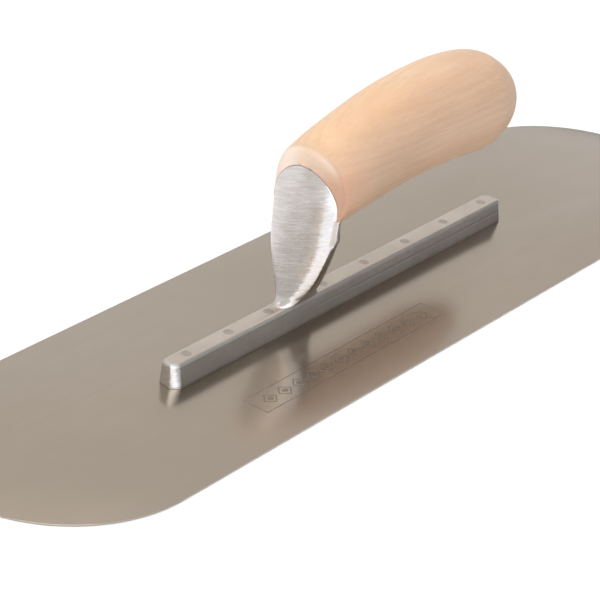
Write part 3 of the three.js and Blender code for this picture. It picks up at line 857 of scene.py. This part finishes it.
def plate_levels(bottom, count):
    """Even steps from bottom to the shoulder, then closer ones towards the round top."""
    shoulder = 56
    closing = (1 - np.linspace(0, 1, 26)[1:]) ** 1.7
    return [*np.linspace(bottom, shoulder, count), *(POST_TOP - (POST_TOP - shoulder) * closing)]


def post_body():
    levels = np.concatenate([np.linspace(7.6, 9.0, 5), np.linspace(9.15, 14, 30),
                             np.linspace(14.5, SEAT_TOP, 56)])
    rings = [post_ring(z, post_row(z)) for z in levels]
    rings += [post_ring(z, post_row(z), PLATE_BACK)
              for z in [SEAT_TOP + 0.004] + plate_levels(45.2, 24)]
    return loft("post", rings)


def plate_cutter():
    rings = [post_ring(z, post_row(z), PLATE_BACK, PLATE_GAP, PLATE_REACH)
             for z in plate_levels(40, 28)]
    rings.append(post_ring(POST_TOP + PLATE_GAP, post_row(POST_TOP), PLATE_BACK,
                           PLATE_GAP, PLATE_REACH))
    return loft("plate", rings)


def build_mounting():
    obj = post_body()
    boss = [(BOSS_FRONT, BOSS_R), (BOSS_BACK - BOSS_CHAMFER, BOSS_R),
            (BOSS_BACK, BOSS_R - BOSS_CHAMFER)]
    boolean(obj, round_solid("boss", "x", (0, TANG_Z), boss, 96), "UNION")
    boolean(obj, rib_body(), "UNION")
    boolean(obj, tang_bore(TANG_FRONT - BORE_GAP, BOSS_BACK + 5, TANG_R + BORE_GAP))
    hole = [(-0.4, RIVET_R + RIVET_GAP), (RIB_TOP + 1, RIVET_R + RIVET_GAP)]
    for x in RIVET_X:
        boolean(obj, round_solid("cut", "z", (x, 0), hole))
    obj.name = "mounting_casting"
    tidy(obj)
    shade_by_angle(obj, 38)
    return obj


# ------------------------------------------------------------------ handle


def handle_tube():
    path_x, path_z = HANDLE[:, 0], HANDLE[:, 1]
    along = np.concatenate([[0], np.cumsum(np.hypot(np.diff(path_x), np.diff(path_z)))])
    dome = along[DOME_START]
    at = np.concatenate([np.linspace(0, dome, 90), dome + (along[-1] - dome)
                         * (1 - (1 - np.linspace(0, 1, 46)[1:]) ** 2)])
    # fewer stations guide the centre line through the dome, which keeps it smooth
    keep = [*range(DOME_START + 1), 11, 13, 15, 17, 20]
    mid_x, mid_z = (natural_spline(along[keep], path[keep], at) for path in (path_x, path_z))
    # squares of the radii are interpolated, so the dome closes round
    above, half_w, below = (np.sqrt(np.maximum(monotone_cubic(along, HANDLE[:, k] ** 2, at), 0))
                            for k in (2, 3, 4))
    dir_x, dir_z = np.gradient(mid_x, at), np.gradient(mid_z, at)
    length = np.hypot(dir_x, dir_z)
    dir_x, dir_z = dir_x / length, dir_z / length
    sides = 112
    rings = []
    for i in range(len(at) - 1):
        ring = []
        for k in range(sides):
            turn = 2 * math.pi * k / sides
            c = math.cos(turn)
            v = (0.993 * above[i] if c > 0 else below[i]) * c
            ring.append((mid_x[i] - dir_z[i] * v, half_w[i] * math.sin(turn),
                         mid_z[i] + dir_x[i] * v))
        rings.append(ring)
    return loft("handle_wood", rings, tip=(mid_x[-1], 0.0, mid_z[-1]))


def front_cutter():
    """Everything ahead of the ground front surface that wood and metal share."""
    half, ahead_x = 24, -90
    sag, sag_at = 3.8, 14.1     # how far the surface falls back, at this distance from mid width
    rings = []
    for z in np.concatenate([np.linspace(26, 60, 69), np.linspace(60.5, 84, 48)]):
        front_x = post_row(min(z, POST_TOP))[0]
        over = max(0.0, z - POST_TOP)
        ring = [(front_x + sag * (abs(y) / sag_at) ** crown(z) + 0.012 * over ** 2, y, z)
                for y in np.linspace(-half, half, 97)]
        rings.append(ring + [(ahead_x, half, z), (ahead_x, -half, z)])
    return loft("ahead", rings)


def ease_ridge(obj):
    """Rounds the line where the ground front meets the handle's round, off the plate's seam."""
    mesh = obj.data
    count = len(mesh.vertices)
    co = np.empty(count * 3)
    mesh.vertices.foreach_get("co", co)
    co = co.reshape(count, 3)
    ends = np.empty(len(mesh.edges) * 2, dtype=np.int64)
    mesh.edges.foreach_get("vertices", ends)
    ends = ends.reshape(-1, 2)
    neighbours = np.bincount(ends.ravel(), minlength=count).astype(float)[:, None]
    x, y, z = co.T
    half = np.interp(z, POST[:, 0], POST[:, 4])
    seam = np.hypot(np.maximum(np.abs(y) - half, 0), np.maximum(z - POST_TOP, 0))
    seam[(np.abs(y) < half + 0.01) & (z < POST_TOP + 0.1)] = 0
    weight = (smoothstep(0.7, 2.2, seam) * (1 - smoothstep(-27, -20, x))
              * smoothstep(44.9, 46.4, z))[:, None]
    first, second = ends.T
    for _ in range(80):
        total = np.zeros_like(co)
        for k in range(3):
            total[:, k] = (np.bincount(first, co[second, k], count)
                           + np.bincount(second, co[first, k], count))
        co = co + 0.5 * weight * (total / neighbours - co)
    mesh.vertices.foreach_set("co", co.ravel())
    mesh.update()


def build_handle():
    obj = handle_tube()
    boolean(obj, front_cutter())
    boolean(obj, plate_cutter())
    rear, top = SEAT_REAR + 0.1, SEAT_TOP + 0.1
    side = [(-60, 20), (rear, 20), (rear, top), (-60, top)]
    boolean(obj, loft("pocket", [[(x, y, z) for x, z in side] for y in (-30, 30)]))
    boolean(obj, tang_bore(-45, BOSS_BACK + WOOD_GAP, BOSS_R + WOOD_GAP))
    boolean(obj, tang_bore(-45, TANG_REAR + 1.5, TANG_R + WOOD_GAP))
    skin = obj.modifiers.new("skin", "REMESH")
    skin.mode, skin.voxel_size, skin.adaptivity = "VOXEL", 0.36, 0.0
    skin.use_smooth_shade = True
    ease = obj.modifiers.new("ease", "SMOOTH")
    ease.factor, ease.iterations = 0.5, 3
    bake(obj)
    ease_ridge(obj)
    for face in obj.data.polygons:
        face.use_smooth = True
    return obj


# ------------------------------------------------------------------ tang and rivets


def build_tang():
    length = TANG_REAR - TANG_FRONT
    # distance from the front end, depth below the full radius
    groove = [(0, 0), (0.25, 0.35), (0.6, 0.5), (1.6, 0.5), (1.95, 0.35), (2.2, 0)]
    steps = [(0.0, 0.6), (0.6, 0)]
    start, pitch = 20.0, 9.0
    while start < length - 8:
        steps += [(start + along, depth) for along, depth in groove]
        start += pitch
    steps += [(length - 1.5, 0), (length - 0.8, 0.5), (length, 1.5)]
    obj = round_solid("tang_rod", "x", (0, TANG_Z),
                      [(TANG_FRONT + along, TANG_R - depth) for along, depth in steps], 96)
    shade_by_angle(obj, 35)
    return obj


def build_rivet(number, x):
    profile = [(0.0, 2.80), (0.05, 2.88), (0.10, 2.86), (BLADE_T, 1.82), (BLADE_T + 0.1, RIVET_R),
               (RIB_TOP - 0.05, RIVET_R), (RIB_TOP, RIVET_R - 0.04)]
    obj = round_solid(f"rivet_pin_{number}", "z", (x, 0), profile)
    shade_by_angle(obj, 35)
    return obj


# ------------------------------------------------------------------ assembly

steel, casting, rivet_steel = blade_material(), casting_material(), rivet_material()
wood, tang_steel = wood_material(), tang_material()

finish_piece(build_blade(), steel, "blade")
finish_piece(build_mounting(), casting, "mounting")
finish_piece(build_handle(), wood, "handle")
finish_piece(build_tang(), tang_steel, "tang")
for number, rivet_x in enumerate(RIVET_X, 1):
    finish_piece(build_rivet(number, rivet_x), rivet_steel, f"rivet_{number}")

# ------------------------------------------------------------------ stage, light, camera (m)

# light round the tool, in degrees: azimuth from +X towards +Y, elevation
SKY = 0.84
# round lights: azimuth, elevation, full inside, nothing outside, amount
LOBES = [
    (190, 55, 23, 33, 1.30),
    (0, 90, 8, 50, 0.25),
]
# panels: azimuth, half width, softness; bottom, top, softness; amount
PANELS = [
    (258, 16, 5, 12, 32, 5, 1.10),
    (322, 34, 12, -20, 60, 12, -0.60),
    (300, 50, 12, 36, 76, 10, -0.25),
]
KEY = (217, 25, 3, 4, 38, 6)        # a panel whose amount is a colour
KEY_COLOUR = (3.15, 3.45, 3.95)


def build_floor():
    floor = new_object("floor", [(-6, -6, 0), (6, -6, 0), (6, 6, 0), (-6, 6, 0)], [(0, 1, 2, 3)])
    floor.location = (0, 0, -0.0002)
    mat = MaterialGraph("floor_pale")
    cloud = mat.ramp(mat.noise(mat.place(), scale=3.0, detail=2.0), (0.3, 0.7))
    colour = mat.mix(cloud, (0.90, 0.90, 0.90), (0.915, 0.915, 0.915))
    floor.data.materials.append(mat.finish(mat.principled(
        Base_Color=colour, Roughness=0.9, Specular_IOR_Level=0.1)))
    floor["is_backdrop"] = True


def build_world():
    """A white studio, lit from above and behind the camera; the camera itself sees plain white."""
    world = bpy.data.worlds.new("studio")
    bpy.context.scene.world = world
    net = Graph(world)
    sky = net.node("ShaderNodeTexCoord").outputs["Generated"]
    x, y, z = net.axes(sky)
    azimuth = net.mul(net.math("ARCTAN2", y, x), 180 / math.pi)
    elevation = net.mul(net.math("ARCSINE", z), 180 / math.pi)

    def panel(centre, half, soft, bottom, top, soft_z):
        shifted = net.math("MODULO", net.add(azimuth, 900.0 - centre), 360.0)
        off = net.abs(net.sub(shifted, 180.0))
        return net.mul(net.ramp(off, (half - soft, half + soft), to=(1.0, 0.0)),
                       net.ramp(elevation, (bottom - soft_z, bottom + soft_z)),
                       net.ramp(elevation, (top - soft_z, top + soft_z), to=(1.0, 0.0)))

    light = net.add(0.0, SKY)
    for turn, rise, inner, outer, amount in LOBES:
        a, e = math.radians(turn), math.radians(rise)
        centre = (math.cos(a) * math.cos(e), math.sin(a) * math.cos(e), math.sin(e))
        lobe = net.ramp(net.vmath("DOT_PRODUCT", sky, centre),
                        (math.cos(math.radians(outer)), math.cos(math.radians(inner))))
        light = net.add(light, net.mul(lobe, amount))
    for *shape, amount in PANELS:
        light = net.add(light, net.mul(panel(*shape), amount))
    light = net.larger(light, 0.03)
    key = panel(*KEY)
    lit = net.vector(*[net.add(light, net.mul(key, amount)) for amount in KEY_COLOUR])
    seen = net.node("ShaderNodeLightPath").outputs["Is Camera Ray"]
    back = net.node("ShaderNodeBackground",
                    {0: net.mix(seen, lit, (1.0, 1.0, 1.0)), 1: 1.0}).outputs[0]
    net.node("ShaderNodeOutputWorld", {"Surface": back})


def build_softbox():
    data = bpy.data.lights.new("top_soft", "AREA")
    data.shape, data.size, data.size_y = "RECTANGLE", 1.2, 1.2
    data.energy, data.color = 2.0, (1.0, 0.99, 0.97)
    lamp = bpy.data.objects.new("top_soft", data)
    bpy.context.scene.collection.objects.link(lamp)
    lamp.location = (-0.5, -0.1, 1.6)
    target = Vector((0, 0, 0))
    aim = target - Vector((-0.5, -0.1, 1.6))
    lamp.rotation_euler = aim.to_track_quat("-Z", "Y").to_euler()
    lamp.visible_camera = False


def build_camera():
    # heading from +Y towards +X is -azimuth; elevation looks down
    azimuth, elevation, roll = map(math.radians, (-54.3884, 27.8064, 5.7619))
    forward = Vector((-math.sin(azimuth) * math.cos(elevation),
                      math.cos(azimuth) * math.cos(elevation), -math.sin(elevation)))
    right = forward.cross(Vector((0, 0, 1))).normalized()
    up = right.cross(forward)
    rolled_right = math.cos(roll) * right + math.sin(roll) * up
    rolled_up = -math.sin(roll) * right + math.cos(roll) * up
    data = bpy.data.cameras.new("camera")
    data.sensor_fit, data.sensor_width = "HORIZONTAL", 36.0
    data.lens = 146.833158
    data.clip_start, data.clip_end = 0.05, 50
    camera = bpy.data.objects.new("camera", data)
    bpy.context.scene.collection.objects.link(camera)
    pose = Matrix((rolled_right, rolled_up, -forward)).transposed().to_4x4()
    pose.translation = Vector((-0.6667941, -0.4570987, 0.4214509))
    camera.matrix_world = pose
    bpy.context.scene.camera = camera


build_floor()
build_world()
build_softbox()
build_camera()

view = bpy.context.scene.view_settings
view.view_transform = "Standard"
view.look = "None"
view.exposure = 0.0
view.gamma = 1.0

bpy.context.view_layer.update()


def plain(box):
    return [[float(v) for v in corner] for corner in box] if hasattr(box[0], "__len__") else [float(v) for v in box]


{"cad": plain(cad_box), "visual": plain(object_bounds())}
